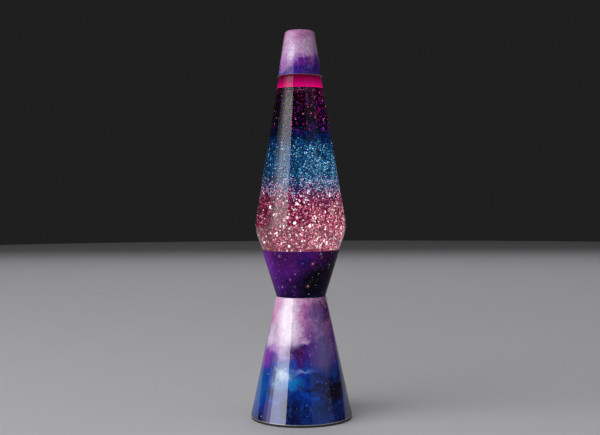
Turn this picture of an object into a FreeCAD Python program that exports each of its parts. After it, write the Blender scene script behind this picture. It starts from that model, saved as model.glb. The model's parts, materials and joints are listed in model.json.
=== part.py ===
import FreeCAD, Part
import math
import os

# A glitter lamp: a sealed glass globe of glitter liquid stands in the cup of an hourglass base of
# spun steel, over a screw-in reflector bulb, and wears a loose spun cap. Millimetres, +Z up.
# The origin is on the table, on the lamp's axis, and the cord inlet is at the back, on +Y.

Vector = FreeCAD.Vector
UP = Vector(0, 0, 1)
AXIS_POINT = Vector(0, 0, 0)

# ---- driving dimensions: the lamp as a whole ----
LAMP_HEIGHT = 400.0
BASE_RADIUS = 52.6          # outside of the hem, at the table end of the cone
CONE_FOOT_Z = 2.2           # the metal stands this far above the table, on the rubber ring
WAIST_Z = 126.0             # where the cup meets the cone
CONE_TOP_RADIUS = 25.9
CUP_FOOT_RADIUS = 25.3
CUP_RIM_RADIUS = 40.4
CUP_RIM_Z = 174.0
BELLY_CORNER_Z = 196.6      # where the globe's two tapers would meet in a sharp corner
BELLY_CORNER_RADIUS = 47.8
SHOULDER_Z = 352.5
SHOULDER_RADIUS = 21.87
LIQUID_LEVEL_Z = 340.0
CAP_FOOT_Z = 352.7
CAP_FOOT_RADIUS = 22.6
CAP_TOP_RADIUS = 15.0
SHEET = 0.7                 # spun steel
SEAT_GAP = 0.3              # between the globe and the cup
SLIP = 0.05                 # between pieces that are fitted together

# ---- the globe's glass, its mouth and the crown on it ----
GLASS_WALL = 3.0
GLOBE_FOOT_Z = 150.0
GLOBE_PUNT = 2.5            # how far the middle of the bottom is pushed up
NECK_FOOT_Z = 359.5
NECK_RADIUS = 12.2
MOUTH_Z = 376.5
MOUTH_BEAD_RADIUS = 13.3
MOUTH_BORE_RADIUS = 8.5
CROWN_TOP_Z = MOUTH_Z + 1.1
CROWN_RADIUS = 13.85
CROWN_SHEET = 0.3
CROWN_FLUTES = 21
CAP_SHEET = 0.6

# ---- the bulb and its screw thread ----
THREAD_PITCH = 2.822
THREAD_MEAN_RADIUS = 6.545
THREAD_DEPTH = 0.8
THREAD_CLEARANCE = 0.18
BULB_TIP_Z = 72.8
BULB_LENGTH = 64.0
BULB_RADIUS = 19.5
BULB_GLASS_WALL = 0.8

# ---- the lampholder and the tube that carries it ----
TUBE_RADIUS = 5.0
TUBE_BORE_RADIUS = 3.7
TUBE_FOOT_Z = 1.4
TUBE_TOP_Z = 58.0
HOLDER_RADIUS = 13.5
HOLDER_FOOT_Z = 50.0
HOLDER_SPLIT_Z = 64.0
HOLDER_TOP_Z = 94.0
HOLDER_BORE_RADIUS = 8.3
LEAD_RADIUS = 1.1
TERMINAL_Z = 61.4           # the leads' ends under the porcelain
TERMINAL_X = 6.8

# ---- the underside ----
COVER_Z = 3.6
COVER_THICKNESS = 1.6
COVER_RADIUS = 46.8
FLANGE_BORE_RADIUS = 41.0
COVER_SCREW_CIRCLE = 44.2
COVER_SCREW_ANGLES = (30, 150, 270)
BLOCK_Y = 24.0              # middle of the terminal block
POLE_X = 3.8
POLE_Z = 11.6
POLE_RADIUS = 2.3

# ---- the cord inlet ----
GLAND_Z = 15.0
GLAND_BORE_RADIUS = 3.4
GLAND_NECK_RADIUS = 4.6
GLAND_FLANGE_RADIUS = 6.6

# ---- what follows from those ----
CUP_FOOT_Z = WAIST_Z + SLIP
COVER_TOP_Z = COVER_Z + COVER_THICKNESS
FLANGE_TOP_Z = COVER_TOP_Z + SHEET
SKIRT_FOOT_Z = BULB_TIP_Z + 17.2
GLASS_FOOT_Z = BULB_TIP_Z + 22.0
FILAMENT_Z = GLASS_FOOT_Z + 24.0
PORCELAIN_LOW_Z = HOLDER_SPLIT_Z + 1.2
PORCELAIN_TOP_Z = 71.5
CAP_SLOPE = (CAP_FOOT_RADIUS - CAP_TOP_RADIUS) / (LAMP_HEIGHT - CAP_FOOT_Z)
BLOCK_LOW = (-8.5, BLOCK_Y - 9.0, COVER_TOP_Z + SLIP)
BLOCK_HIGH = (8.5, BLOCK_Y + 9.0, COVER_TOP_Z + 13.0)
BLOCK_SCREW_YS = (BLOCK_Y - 5.5, BLOCK_Y + 5.5)
CONE_SLOPE = (BASE_RADIUS - CONE_TOP_RADIUS) / (WAIST_Z - CONE_FOOT_Z)
CUP_SLOPE = (CUP_RIM_RADIUS - CUP_FOOT_RADIUS) / (CUP_RIM_Z - CUP_FOOT_Z)


def across(slope, thickness):
    """How far a wall of that thickness reaches across, level, where it leans by slope."""
    return thickness * math.hypot(1, slope)


def cone_radius(z):
    return BASE_RADIUS - CONE_SLOPE * (z - CONE_FOOT_Z)


def cup_radius(z):
    return CUP_FOOT_RADIUS + CUP_SLOPE * (z - CUP_FOOT_Z)


# ---- outlines: lists of (radius, height, corner radius) ----
def turn(before, at, after):
    """The angle by which the outline turns at a point, positive to the left."""
    a = math.atan2(at[1] - before[1], at[0] - before[0])
    b = math.atan2(after[1] - at[1], after[0] - at[0])
    return (b - a + math.pi) % (2 * math.pi) - math.pi


def inset(outline, distance):
    """The outline moved to its left by distance. A point on the axis stays on the axis."""
    lines = []
    for (r0, z0, _), (r1, z1, _) in zip(outline, outline[1:]):
        length = math.hypot(r1 - r0, z1 - z0)
        dr, dz = (r1 - r0) / length, (z1 - z0) / length
        lines.append((r0 - dz * distance, z0 + dr * distance, dr, dz))
    moved = []
    for i, (r, z, corner) in enumerate(outline):
        if i == 0 or i == len(outline) - 1:
            lr, lz, dr, dz = lines[0] if i == 0 else lines[-1]
            along = -lr / dr if r == 0 else (r - lr) * dr + (z - lz) * dz
            moved.append((lr + along * dr, lz + along * dz, 0))
            continue
        ar, az, adr, adz = lines[i - 1]
        br, bz, bdr, bdz = lines[i]
        along = ((br - ar) * bdz - (bz - az) * bdr) / (adr * bdz - adz * bdr)
        side = 1 if turn(outline[i - 1], outline[i], outline[i + 1]) > 0 else -1
        moved.append((ar + along * adr, az + along * adz, max(0, corner - side * distance)))
    return moved


def edges_of(outline):
    """Straight edges and tangent arcs through the outline, in the plane of X and Z."""
    points = [Vector(r, 0, z) for r, z, _ in outline]
    edges, start = [], points[0]
    for i in range(1, len(points)):
        last = i == len(points) - 1
        corner = 0 if last else outline[i][2]
        if corner < 1e-6:
            end, arc = points[i], None
        else:
            back = (points[i - 1] - points[i]).normalize()
            ahead = (points[i + 1] - points[i]).normalize()
            half = back.getAngle(ahead) / 2
            reach = corner / math.tan(half)
            end = points[i] + back * reach
            leave = points[i] + ahead * reach
            middle = (back + ahead).normalize()
            crest = points[i] + middle * (corner / math.sin(half) - corner)
            arc = Part.Arc(end, crest, leave).toShape()
        if (end - start).Length > 1e-6:
            edges.append(Part.LineSegment(start, end).toShape())
        if arc:
            edges.append(arc)
            end = leave
        start = end
    return edges


def turned(outline):
    """A solid of revolution about the lamp's axis from a closed outline."""
    closed = outline if outline[0][:2] == outline[-1][:2] else outline + [outline[0]]
    face = Part.Face(Part.Wire(edges_of(closed)))
    return face.revolve(AXIS_POINT, UP, 360)


def turned_sheet(outline, thickness):
    """A turned shell: the outline is one side, and the other lies to its left."""
    other = inset(outline, thickness)
    there, back = edges_of(outline), edges_of(other)
    end_a = Part.LineSegment(Vector(outline[-1][0], 0, outline[-1][1]), Vector(other[-1][0], 0, other[-1][1]))
    edges = there + [end_a.toShape()] + back
    if outline[0][0] > 0:
        end_b = Part.LineSegment(Vector(other[0][0], 0, other[0][1]), Vector(outline[0][0], 0, outline[0][1]))
        edges.append(end_b.toShape())
    else:
        on_axis = Part.LineSegment(Vector(0, 0, other[0][1]), Vector(0, 0, outline[0][1]))
        edges.append(on_axis.toShape())
    wire = Part.Wire(Part.__sortEdges__(edges))
    return Part.Face(wire).revolve(AXIS_POINT, UP, 360)


def ring(inner, outer, low, high):
    """A plain ring or, with inner 0, a disc on the lamp's axis."""
    body = Part.makeCylinder(outer, high - low, Vector(0, 0, low))
    if inner > 0:
        body = body.cut(Part.makeCylinder(inner, high - low + 2, Vector(0, 0, low - 1)))
    return body


def rod(radius, length, at, direction=UP):
    return Part.makeCylinder(radius, length, at, direction)


def box(low, high):
    return Part.makeBox(high[0] - low[0], high[1] - low[1], high[2] - low[2], Vector(*low))


def on_circle(radius, degrees, z):
    a = math.radians(degrees)
    return Vector(radius * math.cos(a), radius * math.sin(a), z)


def hexagon(across_flats, height, at):
    """An upright hexagonal prism whose foot is centred on a point."""
    corner = across_flats / math.sqrt(3)
    points = [at + on_circle(corner, 60 * i, 0) for i in range(7)]
    return Part.Face(Part.makePolygon(points)).extrude(Vector(0, 0, height))


def moved(shape, angle, at):
    """A copy turned about the vertical by angle and then moved to a point."""
    copy = shape.copy()
    copy.rotate(AXIS_POINT, UP, angle)
    copy.translate(at)
    return copy


def fuse(shapes):
    whole = shapes[0]
    for shape in shapes[1:]:
        whole = whole.fuse(shape)
    return whole.removeSplitter()


def save(name, *solids):
    shape = solids[0] if len(solids) == 1 else Part.makeCompound(list(solids))
    count = len(shape.Solids)
    good = shape.isValid() and all(s.Volume > 0 for s in shape.Solids)
    print(f"{name:24s} solids {count:3d}  volume {shape.Volume / 1000:9.3f} cm3  {'ok' if good else 'BAD'}")
    shape.exportStep(f"parts/{name}.step")


# ---- threads: a level circle whose centre rides round a helix is a rounded screw thread ----
def threaded_rod(mean_radius, low, high):
    """The thread's surface is every point of the helix added to every point of the circle."""
    offset, spans_a_turn, spans_round = THREAD_DEPTH / 2, 9, 16
    steps = math.ceil((high - low) / THREAD_PITCH * spans_a_turn)
    heights = [low + (high - low) * i / steps for i in range(steps + 1)]
    helix = Part.BSplineCurve()
    helix.interpolate([on_circle(offset, 360 * z / THREAD_PITCH, z) for z in heights])
    circle = Part.BSplineCurve()
    round_points = [on_circle(mean_radius, 360 * i / spans_round, 0) for i in range(spans_round)]
    circle.interpolate(round_points, PeriodicFlag=True)
    poles = [[along + across_it for across_it in circle.getPoles()] for along in helix.getPoles()]
    surface = Part.BSplineSurface()
    surface.buildFromPolesMultsKnots(
        poles, helix.getMultiplicities(), circle.getMultiplicities(), helix.getKnots(), circle.getKnots(),
        False, True, helix.Degree, circle.Degree,
    )
    side = surface.toShape()
    rims = [edge for edge in side.Edges if edge.BoundBox.ZLength < 1e-6]
    shell = Part.makeShell([side] + [Part.Face(Part.Wire([rim])) for rim in rims])
    shell.sewShape()
    return Part.makeSolid(shell)


# ---- the globe ----
def globe_seat_radius(z):
    """The globe's outside where it stands in the cup."""
    return cup_radius(z) - across(CUP_SLOPE, SHEET + SEAT_GAP)


def globe_outline():
    """The outside, from the middle of the bottom to the foot of the neck."""
    return [
        (0, GLOBE_FOOT_Z + GLOBE_PUNT, 0),
        (21.0, GLOBE_FOOT_Z + GLOBE_PUNT, 6),
        (25.5, GLOBE_FOOT_Z, 3),
        (globe_seat_radius(GLOBE_FOOT_Z), GLOBE_FOOT_Z, 3.2),
        (globe_seat_radius(CUP_RIM_Z), CUP_RIM_Z, 12),
        (BELLY_CORNER_RADIUS, BELLY_CORNER_Z, 36),
        (SHOULDER_RADIUS, SHOULDER_Z, 6),
        (NECK_RADIUS, NECK_FOOT_Z, 4),
        (NECK_RADIUS, MOUTH_Z - 6.5, 0),
    ]


def globe_hollow():
    """The space inside the glass, up to the level of the mouth's foot."""
    wall = inset(globe_outline(), GLASS_WALL)
    wall[1] = (wall[1][0], wall[1][1], 3)
    wall[2] = (wall[2][0], wall[2][1], 3)
    return turned(wall + [(0, wall[-1][1], 0)])


def glass_globe(hollow):
    bead = [
        (0, MOUTH_Z, 0),
        (MOUTH_BEAD_RADIUS, MOUTH_Z, 1.4),
        (MOUTH_BEAD_RADIUS, MOUTH_Z - 5.2, 1.2),
        (NECK_RADIUS, MOUTH_Z - 6.5, 0),
    ]
    outside = turned(globe_outline() + bead[::-1])
    mouth = rod(MOUTH_BORE_RADIUS, 20, Vector(0, 0, MOUTH_Z - 15))
    return outside.cut(hollow).cut(mouth)


def lamp_liquid(hollow):
    top = 100
    return hollow.cut(rod(2 * BASE_RADIUS, top, Vector(0, 0, LIQUID_LEVEL_Z)))


def glitter_flakes():
    """A few of the flakes that hang in the liquid, spread by the golden angle."""
    count, low, high = 90, 160.0, 330.0
    flake_width, flake_thickness, golden_angle = 1.8, 0.3, 137.508
    flakes = []
    for i in range(count):
        share = (i + 0.5) / count
        z = low + (high - low) * share
        room = min(globe_seat_radius(z), BELLY_CORNER_RADIUS - 2, 76 - 0.166 * z) - GLASS_WALL - 3
        radius = room * math.sqrt((i * 0.618) % 1)
        flake = hexagon(flake_width, flake_thickness, AXIS_POINT)
        flake.rotate(AXIS_POINT, Vector(1, 0, 0), 53 * i % 180)
        flakes.append(moved(flake, golden_angle * i, on_circle(radius, golden_angle * i, z)))
    return flakes


def crown_solid(shrink, foot_z):
    """The crown's outside, or its inside when shrunk: a round lid on a skirt that ends in flutes."""
    top_z, skirt_z = CROWN_TOP_Z - shrink, CROWN_TOP_Z - 1.2
    points = []
    for i in range(CROWN_FLUTES * 6):
        angle = 360 * i / (CROWN_FLUTES * 6)
        wave = 0.4 * math.cos(math.radians(CROWN_FLUTES * angle))
        points.append(on_circle(CROWN_RADIUS + 0.6 + wave - shrink, angle, foot_z))
    curve = Part.BSplineCurve()
    curve.interpolate(points, PeriodicFlag=True)
    foot = Part.Wire([curve.toShape()])
    neck = Part.Wire([Part.Circle(Vector(0, 0, skirt_z), UP, CROWN_RADIUS - shrink).toShape()])
    lid = turned([
        (0, top_z, 0),
        (CROWN_RADIUS - shrink, top_z, 1.1 - shrink),
        (CROWN_RADIUS - shrink, skirt_z - shrink, 0),
        (0, skirt_z - shrink, 0),
    ])
    return Part.makeLoft([foot, neck], True).fuse(lid)


def crown_cork():
    """The steel crown that is crimped on the mouth."""
    foot_z = MOUTH_Z - 5.0
    return crown_solid(0, foot_z).cut(crown_solid(CROWN_SHEET, foot_z))


def crown_liner():
    return ring(0, CROWN_RADIUS - CROWN_SHEET - 0.85, MOUTH_Z, CROWN_TOP_Z - CROWN_SHEET)


# ---- the cap ----
def cap_inside_radius(z):
    return CAP_FOOT_RADIUS - CAP_SLOPE * (z - CAP_FOOT_Z) - across(CAP_SLOPE, CAP_SHEET)


def cap_shell():
    """The spun cap, with a small rolled bead round its foot."""
    outline = [
        (0, LAMP_HEIGHT, 0),
        (CAP_TOP_RADIUS, LAMP_HEIGHT - 0.5, 3.4),
        (CAP_FOOT_RADIUS, CAP_FOOT_Z + 0.6, 0),
    ]
    bead_radius = 0.6
    bead = Part.makeTorus(CAP_FOOT_RADIUS - 0.25, bead_radius, Vector(0, 0, CAP_FOOT_Z + bead_radius))
    return turned_sheet(outline[::-1], CAP_SHEET).fuse(bead)


def cap_insert():
    """The moulded ring in the cap that centres it on the crown, with six ribs out to the wall."""
    foot_z, seat_z, top_z = 366.0, CROWN_TOP_Z + 1.6, CROWN_TOP_Z + 3.0
    inner, outer, ribs = 15.4, 16.6, 6
    body = ring(inner, outer, foot_z, top_z)
    body = body.fuse(ring(9.0, outer, seat_z, top_z))
    for i in range(ribs):
        rib = box((outer - 0.4, -0.6, foot_z + 1), (cap_inside_radius(foot_z), 0.6, top_z))
        body = body.fuse(moved(rib, 360 / ribs * i, AXIS_POINT))
    taper = turned([
        (0, foot_z - 1, 0),
        (cap_inside_radius(foot_z - 1) - SLIP, foot_z - 1, 0),
        (cap_inside_radius(top_z + 1) - SLIP, top_z + 1, 0),
        (0, top_z + 1, 0),
    ])
    return body.common(taper)


def cap_pad():
    """The felt washer under the insert's top, which rests on the crown."""
    return ring(9.0, 15.4 - SLIP, CROWN_TOP_Z + SEAT_GAP, CROWN_TOP_Z + 1.6)


# ---- the base ----
def upper_cup():
    """The funnel that holds the globe, with the neck that goes down through the cone's top."""
    outline = [
        (CUP_RIM_RADIUS, CUP_RIM_Z, 0),
        (CUP_FOOT_RADIUS, CUP_FOOT_Z, 0.5),
        (23.2, CUP_FOOT_Z, 0.2),
        (23.2, 117.0, 0),
    ]
    cup = turned_sheet(outline[::-1], SHEET)
    rim = SHEET / 2
    middle = CUP_RIM_RADIUS - across(CUP_SLOPE, SHEET) / 2
    return cup.fuse(Part.makeTorus(middle, rim + 0.02, Vector(0, 0, CUP_RIM_Z - 0.06))).removeSplitter()


def gland_direction():
    """Square to the cone's wall, outwards and a little up."""
    return Vector(0, 1, CONE_SLOPE).normalize()


def gland_point():
    """Where the gland's axis meets the outside of the cone."""
    return Vector(0, cone_radius(GLAND_Z), GLAND_Z)


def lower_cone():
    """The flared foot: a leaning wall, a turned-in top, and a folded hem with the flange for the cover."""
    wall = across(CONE_SLOPE, SHEET)
    hem_top_z = FLANGE_TOP_Z
    outline = [
        (BASE_RADIUS, CONE_FOOT_Z, 0.5),
        (CONE_TOP_RADIUS, WAIST_Z, 0.7),
        (23.4, WAIST_Z, 0),
        (23.4, WAIST_Z - SHEET, 0),
        (CONE_TOP_RADIUS - wall + CONE_SLOPE * SHEET, WAIST_Z - SHEET, 0),
        (cone_radius(hem_top_z) - wall, hem_top_z, 0),
        (FLANGE_BORE_RADIUS, hem_top_z, 0),
        (FLANGE_BORE_RADIUS, COVER_TOP_Z, 0),
        (cone_radius(COVER_TOP_Z) - 2 * wall, COVER_TOP_Z, 0),
        (cone_radius(CONE_FOOT_Z) - 2 * wall, CONE_FOOT_Z, 0.5),
        ((BASE_RADIUS + cone_radius(CONE_FOOT_Z) - 2 * wall) / 2, CONE_FOOT_Z, 0),
    ]
    body = turned([outline[-1]] + outline[:-1])
    for angle in COVER_SCREW_ANGLES:
        body = body.cut(rod(1.7, 4, on_circle(COVER_SCREW_CIRCLE, angle, COVER_TOP_Z - 1)))
    out = gland_direction()
    return body.cut(rod(GLAND_NECK_RADIUS + 0.1, 8, gland_point() - out * 4, out))


def waist_locknut():
    """The ring that is screwed up the cup's neck against the cone's top, with four spanner notches."""
    nut = ring(23.2 + SLIP, 24.5, 119.2, WAIST_Z - SHEET - SLIP)
    for angle in (0, 90, 180, 270):
        notch = moved(box((20, -2, 118), (30, 2, 120.8)), angle, AXIS_POINT)
        nut = nut.cut(notch)
    return nut


def edge_ring():
    """The rubber ring that the lamp stands on; its lip is pushed up behind the hem."""
    lip_outer = cone_radius(COVER_TOP_Z) - 2 * across(CONE_SLOPE, SHEET) - SLIP
    return turned([
        (lip_outer - 1.2, CONE_FOOT_Z, 0),
        (lip_outer - 1.2, COVER_TOP_Z - SLIP, 0),
        (lip_outer, COVER_TOP_Z - SLIP, 0),
        (lip_outer, CONE_FOOT_Z - SLIP, 0),
        (BASE_RADIUS - 0.4, CONE_FOOT_Z - SLIP, 0.3),
        (BASE_RADIUS - 0.4, 0, 0.8),
        (COVER_RADIUS + 0.4, 0, 0.8),
        (COVER_RADIUS + 0.4, CONE_FOOT_Z, 0),
        (lip_outer - 1.2, CONE_FOOT_Z, 0),
    ])


def vent_slot(angle):
    near, far, half = 19.0, 35.0, 1.5
    slot = box((near, -half, COVER_Z - 1), (far, half, COVER_TOP_Z + 1))
    ends = [rod(half, COVER_THICKNESS + 2, Vector(r, 0, COVER_Z - 1)) for r in (near, far)]
    return moved(slot.fuse(ends[0]).fuse(ends[1]), angle, AXIS_POINT)


def bottom_cover():
    """The steel disc under the base, with air slots all round except under the terminal block."""
    cover = ring(TUBE_RADIUS + SLIP, COVER_RADIUS, COVER_Z, COVER_TOP_Z)
    for angle in COVER_SCREW_ANGLES:
        cover = cover.cut(rod(1.7, 6, on_circle(COVER_SCREW_CIRCLE, angle, COVER_Z - 2)))
    for angle in range(0, 360, 20):
        if abs(angle - 90) > 35:
            cover = cover.cut(vent_slot(angle))
    return cover.cut(rod(1.3, 6, Vector(0, BLOCK_Y, COVER_Z - 2)))


def pan_screw(radius, length, head_radius, head_height):
    """A cross-slotted screw, head down: its head seats at the origin and its shank goes up."""
    head = [
        (0, 0, 0),
        (head_radius, 0, 0),
        (head_radius, -head_height, head_height * 0.45),
        (0, -head_height, 0),
    ]
    whole = turned(head).fuse(Part.makeCylinder(radius, length))
    reach, half, deep = head_radius * 0.62, head_radius * 0.15, head_height * 0.45
    for angle in (0, 90):
        slot = box((-reach, -half, -head_height - 1), (reach, half, deep - head_height))
        whole = whole.cut(moved(slot, angle, AXIS_POINT))
    return whole


def cover_screws():
    screw = pan_screw(1.5, 6.5, 2.8, 1.9)
    seats = [on_circle(COVER_SCREW_CIRCLE, angle, COVER_Z) for angle in COVER_SCREW_ANGLES]
    return [moved(screw, angle, seat) for angle, seat in zip(COVER_SCREW_ANGLES, seats)]


def cover_nuts():
    nut = hexagon(5.5, 2.4, AXIS_POINT).cut(rod(1.5 + SLIP, 6, Vector(0, 0, -1)))
    seats = [on_circle(COVER_SCREW_CIRCLE, angle, FLANGE_TOP_Z + SLIP / 2) for angle in COVER_SCREW_ANGLES]
    return [moved(nut, angle, seat) for angle, seat in zip(COVER_SCREW_ANGLES, seats)]


def cord_gland():
    """The bush in the back of the cone, turned about its own axis and then laid square to the wall."""
    wall_room = SHEET + 0.5
    bush = turned([
        (GLAND_BORE_RADIUS, -wall_room - 2.2, 0),
        (GLAND_FLANGE_RADIUS - 1.2, -wall_room - 2.2, 0.6),
        (GLAND_FLANGE_RADIUS - 0.7, -wall_room, 0),
        (GLAND_NECK_RADIUS, -wall_room, 0),
        (GLAND_NECK_RADIUS, SLIP, 0),
        (GLAND_FLANGE_RADIUS, SLIP, 0),
        (GLAND_FLANGE_RADIUS, 1.6, 0.9),
        (GLAND_BORE_RADIUS, 2.4, 0),
    ])
    lean = math.degrees(math.atan2(1, CONE_SLOPE))
    bush.rotate(AXIS_POINT, Vector(1, 0, 0), -lean)
    bush.translate(gland_point())
    return bush


# ---- the tube, the lampholder and the wiring ----
def centre_tube():
    """The threaded tube that joins the cover to the lampholder, with a window for the leads."""
    tube = ring(TUBE_BORE_RADIUS, TUBE_RADIUS, TUBE_FOOT_Z, TUBE_TOP_Z)
    half = 2.7
    window = box((-half, 0, 13.0), (half, 10, 24.0))
    arch = rod(half, 10, Vector(0, 0, 24.0), Vector(0, 1, 0))
    return tube.cut(window.fuse(arch))


def tube_nut(low, height):
    return hexagon(14, height, Vector(0, 0, low)).cut(rod(TUBE_RADIUS + SLIP, 20, Vector(0, 0, low - 5)))


def socket_cap():
    """The dome at the foot of the lampholder, screwed on the tube."""
    outline = [
        (TUBE_RADIUS + SLIP, HOLDER_FOOT_Z, 0),
        (8.2, HOLDER_FOOT_Z, 1.2),
        (8.2, HOLDER_FOOT_Z + 5, 2),
        (HOLDER_RADIUS, HOLDER_FOOT_Z + 9.5, 2.5),
        (HOLDER_RADIUS, HOLDER_SPLIT_Z, 0),
        (11.6, HOLDER_SPLIT_Z, 0),
        (11.6, HOLDER_FOOT_Z + 11, 1.5),
        (6.4, TUBE_TOP_Z, 0),
        (TUBE_RADIUS + SLIP, TUBE_TOP_Z, 0),
    ]
    return turned(outline)


def socket_barrel():
    """The barrel that takes the bulb, ribbed round its foot for grip."""
    split = HOLDER_SPLIT_Z + SLIP
    outline = [
        (11.6, split, 0),
        (HOLDER_RADIUS, split, 0),
        (HOLDER_RADIUS, split + 9, 0.6),
        (12.4, split + 11, 0.6),
        (12.4, HOLDER_TOP_Z, 1.0),
        (HOLDER_BORE_RADIUS + 1.2, HOLDER_TOP_Z, 0.8),
        (HOLDER_BORE_RADIUS, HOLDER_TOP_Z - 2, 0),
        (HOLDER_BORE_RADIUS, PORCELAIN_TOP_Z, 0),
        (11.6, PORCELAIN_TOP_Z, 0),
    ]
    body = turned(outline)
    for angle in range(0, 360, 15):
        groove = rod(0.7, 8.0, on_circle(HOLDER_RADIUS + 0.3, angle, split - 1))
        body = body.cut(groove)
    return body


def socket_insert():
    """The porcelain core, with a well in its top for the centre contact."""
    core = ring(0, 11.6 - SLIP, PORCELAIN_LOW_Z, PORCELAIN_TOP_Z - SLIP)
    well = box((-3.0, -8.0, 69.0), (3.0, 3.4, 73.0))
    return core.cut(well)


def socket_contact():
    """The sprung brass tongue, folded up out of the well to press on the bulb's tip."""
    half = 2.4
    outline = (
        (-7.6, 69.05), (0.4, 69.05), (2.9, 71.2), (2.9, 71.6), (1.6, 72.45), (-1.6, 72.45),
        (-1.6, 72.05), (1.4, 72.05), (2.3, 71.4), (0.1, 69.45), (-7.6, 69.45), (-7.6, 69.05),
    )
    side = Part.makePolygon([Vector(-half, y, z) for y, z in outline])
    return Part.Face(side).extrude(Vector(2 * half, 0, 0))


def socket_screw_shell():
    """The holder's brass screw shell: a thin threaded sleeve on a flat ring."""
    foot_z, ring_top_z, high, metal = PORCELAIN_TOP_Z + SLIP, 72.3, 88.0, 0.4
    inside = threaded_rod(THREAD_MEAN_RADIUS + THREAD_CLEARANCE, foot_z - 1, high + 1)
    sleeve = threaded_rod(THREAD_MEAN_RADIUS + THREAD_CLEARANCE + metal, ring_top_z - 0.3, high)
    return ring(0, HOLDER_BORE_RADIUS - SLIP, foot_z, ring_top_z).fuse(sleeve).cut(inside)


def socket_terminals():
    """Two brass posts under the porcelain, bored across for the leads."""
    posts = []
    for side in (-1, 1):
        x = side * TERMINAL_X
        post = box((x - 2.0, -3.0, TERMINAL_Z - 1.5), (x + 2.0, 3.0, PORCELAIN_LOW_Z - SLIP))
        posts.append(post.cut(rod(LEAD_RADIUS + SLIP, 20, Vector(-10, 0, TERMINAL_Z), Vector(1, 0, 0))))
    return posts


def lead(side):
    """An insulated lead from the terminal block, in at the tube's window and up to the lampholder."""
    in_tube = side * 1.35
    route = [
        Vector(side * POLE_X, BLOCK_Y - 5.0, POLE_Z),
        Vector(side * POLE_X, BLOCK_Y - 11.0, POLE_Z),
        Vector(in_tube, 5.0, 15.5),
        Vector(in_tube, 0.6, 25.0),
        Vector(in_tube, 0, 40.0),
        Vector(in_tube, 0, 57.0),
        Vector(side * 2.6, 0, TERMINAL_Z),
        Vector(side * (TERMINAL_X + 1.8), 0, TERMINAL_Z),
    ]
    edges, start = [], route[0]
    for before, at, after in zip(route, route[1:], route[2:]):
        back, ahead = before - at, after - at
        half_turn = (math.pi - back.getAngle(ahead)) / 2
        radius = 0.45 * min(back.Length, ahead.Length) / math.tan(half_turn)
        reach = radius * math.tan(half_turn)
        back.normalize()
        ahead.normalize()
        end, leave = at + back * reach, at + ahead * reach
        middle = (back + ahead).normalize()
        crest = at + middle * (radius / math.cos(half_turn) - radius)
        edges.append(Part.LineSegment(start, end).toShape())
        edges.append(Part.Arc(end, crest, leave).toShape())
        start = leave
    edges.append(Part.LineSegment(start, route[-1]).toShape())
    path = Part.Wire(edges)
    circle = Part.Wire([Part.Circle(route[0], route[1] - route[0], LEAD_RADIUS).toShape()])
    tube = path.makePipeShell([circle], True, False)
    share = tube.Volume / (math.pi * LEAD_RADIUS ** 2 * path.Length)
    print(f"lead length {path.Length:.1f} mm, volume over section times length {share:.4f}")
    return tube


def terminal_block():
    """The two-pole moulded block on the cover, one pole each side of its fixing screw."""
    body = box(BLOCK_LOW, (BLOCK_HIGH[0], BLOCK_HIGH[1], COVER_TOP_Z + 4.0))
    for side in (-1, 1):
        x = side * POLE_X
        body = body.fuse(box((x - 3.3, BLOCK_LOW[1], COVER_TOP_Z + 3), (x + 3.3, BLOCK_HIGH[1], 15.0)))
        for y in BLOCK_SCREW_YS:
            body = body.fuse(rod(2.9, BLOCK_HIGH[2] - 14.0, Vector(x, y, 14.0)))
    body = body.removeSplitter()
    for side in (-1, 1):
        x = side * POLE_X
        body = body.cut(rod(POLE_RADIUS, 30, Vector(x, BLOCK_LOW[1] - 1, POLE_Z), Vector(0, 1, 0)))
        for y in BLOCK_SCREW_YS:
            body = body.cut(rod(1.7, 10, Vector(x, y, POLE_Z)))
    return body.cut(rod(1.3 + SLIP, 20, Vector(0, BLOCK_Y, 0)))


def terminal_sleeves():
    """The brass barrel in each pole, with a tapped hole over each end."""
    sleeves = []
    for side in (-1, 1):
        x = side * POLE_X
        sleeve = rod(POLE_RADIUS - SLIP, 15.0, Vector(x, BLOCK_Y - 7.5, POLE_Z), Vector(0, 1, 0))
        sleeve = sleeve.cut(rod(LEAD_RADIUS + SLIP, 16.0, Vector(x, BLOCK_Y - 8, POLE_Z), Vector(0, 1, 0)))
        for y in BLOCK_SCREW_YS:
            sleeve = sleeve.cut(rod(1.25 + SLIP, 5, Vector(x, y, POLE_Z)))
        sleeves.append(sleeve)
    return sleeves


def terminal_screws():
    """Four grub screws, two to a pole."""
    screws = []
    for x in (-POLE_X, POLE_X):
        for y in BLOCK_SCREW_YS:
            top_z, tip_z = 16.6, POLE_Z + LEAD_RADIUS + 0.1
            screw = rod(1.25, top_z - tip_z, Vector(x, y, tip_z))
            slot = box((x - 2, y - 0.25, top_z - 0.8), (x + 2, y + 0.25, top_z + 1))
            screws.append(screw.cut(slot))
    return screws


def block_screw():
    """The screw that comes up through the cover and holds the block."""
    screw = pan_screw(1.3 - SLIP, 5.4, 2.4, 1.4)
    return moved(screw, 0, Vector(0, BLOCK_Y, COVER_Z))


# ---- the bulb ----
def bulb_contact():
    """The solder button at the tip."""
    ball = Part.makeSphere(3.4, Vector(0, 0, BULB_TIP_Z + 3.4))
    return ball.common(ring(0, 2.7, BULB_TIP_Z - 1, BULB_TIP_Z + 1.7))


def bulb_insulator():
    """The black glass between the button and the shell."""
    foot_z = BULB_TIP_Z + 1.7
    return turned([(0, foot_z, 0), (2.7, foot_z, 0), (5.4, foot_z + 2.6, 0), (0, foot_z + 2.6, 0)])


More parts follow.
